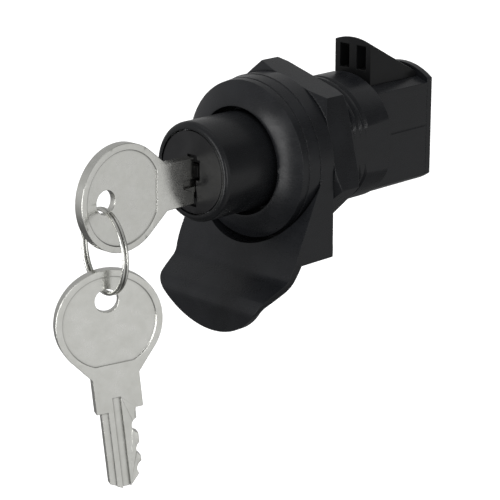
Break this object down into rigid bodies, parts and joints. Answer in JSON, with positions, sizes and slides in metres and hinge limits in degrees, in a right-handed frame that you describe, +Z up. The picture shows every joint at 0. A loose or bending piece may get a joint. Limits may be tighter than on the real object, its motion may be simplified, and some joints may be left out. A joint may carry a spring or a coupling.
{
  "type": "push button latch",
  "caption": "Keyed push-button slam latch with a finger pull, threaded barrel and panel nut, sloping spring bolt, and a spare key on a split ring.",
  "frame": {"origin": "where the lock axis meets the panel seat, the flat back of the finger pull", "axes": "+Y along the lock axis, from the button to the back of the latch; +Z up, the way the slam bolt points; +X to the right seen from the front"},
  "size_m": [0.0382, 0.1023, 0.0853],
  "materials": {
    "black_plastic": "satin moulded",
    "button_plastic": "fine grained, half matt",
    "black_lock": "satin black coated",
    "key_metal": "nickel plated, bright, finely brushed",
    "ring_steel": "bright nickel plated wire",
    "spring_steel": "bright drawn wire",
    "zinc": "die cast zinc",
    "brass": "stamped",
    "rubber": "matt"
  },
  "bodies": {
    "housing": {"bezel_barrel": "black_plastic", "finger_pull": "black_plastic", "panel_gasket": "rubber", "latch_housing": "black_plastic", "rear_cover": "black_plastic", "cover_screws": "spring_steel", "button_seal": "rubber"},
    "nut": {"hex_nut": "black_plastic"},
    "button": {"button_shell": "button_plastic", "retaining_ring": "spring_steel", "button_spring": "spring_steel", "lock_cylinder": "zinc", "cylinder_pin": "spring_steel", "push_yoke": "black_plastic"},
    "plug": {"lock_plug": "black_lock", "wafers": "brass", "lock_cam": "zinc", "cam_screw": "spring_steel"},
    "key": {"inserted_key": "key_metal"},
    "ring": {"key_ring": "ring_steel"},
    "spare": {"spare_key": "key_metal"},
    "bolt": {"slam_bolt": "black_plastic", "bolt_springs": "spring_steel"}
  },
  "joints": [
    {"name": "button_push", "type": "slide", "parent": "housing", "child": "button", "axis": [0, 1, 0], "range_m": [0, 0.006], "stiffness_N_per_m": 500, "springref_m": -0.006, "deforming": ["button_spring"]},
    {"name": "bolt_retract", "type": "slide", "parent": "housing", "child": "bolt", "axis": [0, 0, -1], "range_m": [0, 0.009], "stiffness_N_per_m": 200, "springref_m": -0.005, "deforming": ["bolt_springs"]},
    {"name": "nut_travel", "type": "slide", "parent": "housing", "child": "nut", "axis": [0, 1, 0], "range_m": [0, 0.018]},
    {"name": "plug_turn", "type": "hinge", "parent": "button", "child": "plug", "pos_m": [0, 0, 0], "axis": [0, 1, 0], "range_deg": [0, 90]},
    {"name": "key_withdraw", "type": "slide", "parent": "plug", "child": "key", "axis": [0, -1, 0], "range_m": [0, 0.022]},
    {"name": "ring_swing", "type": "hinge", "parent": "key", "child": "ring", "pos_m": [0, -0.0491, -0.0015], "axis": [1, 0, 0], "range_deg": [-70, 12]},
    {"name": "spare_swing", "type": "hinge", "parent": "ring", "child": "spare", "pos_m": [0, -0.0491, -0.02215], "axis": [0.8988, -0.4384, 0], "range_deg": [-45, 30]}
  ],
  "couplings": [
    {"joint": "bolt_retract", "follows": "button_push", "ratio": 1.5}
  ]
}
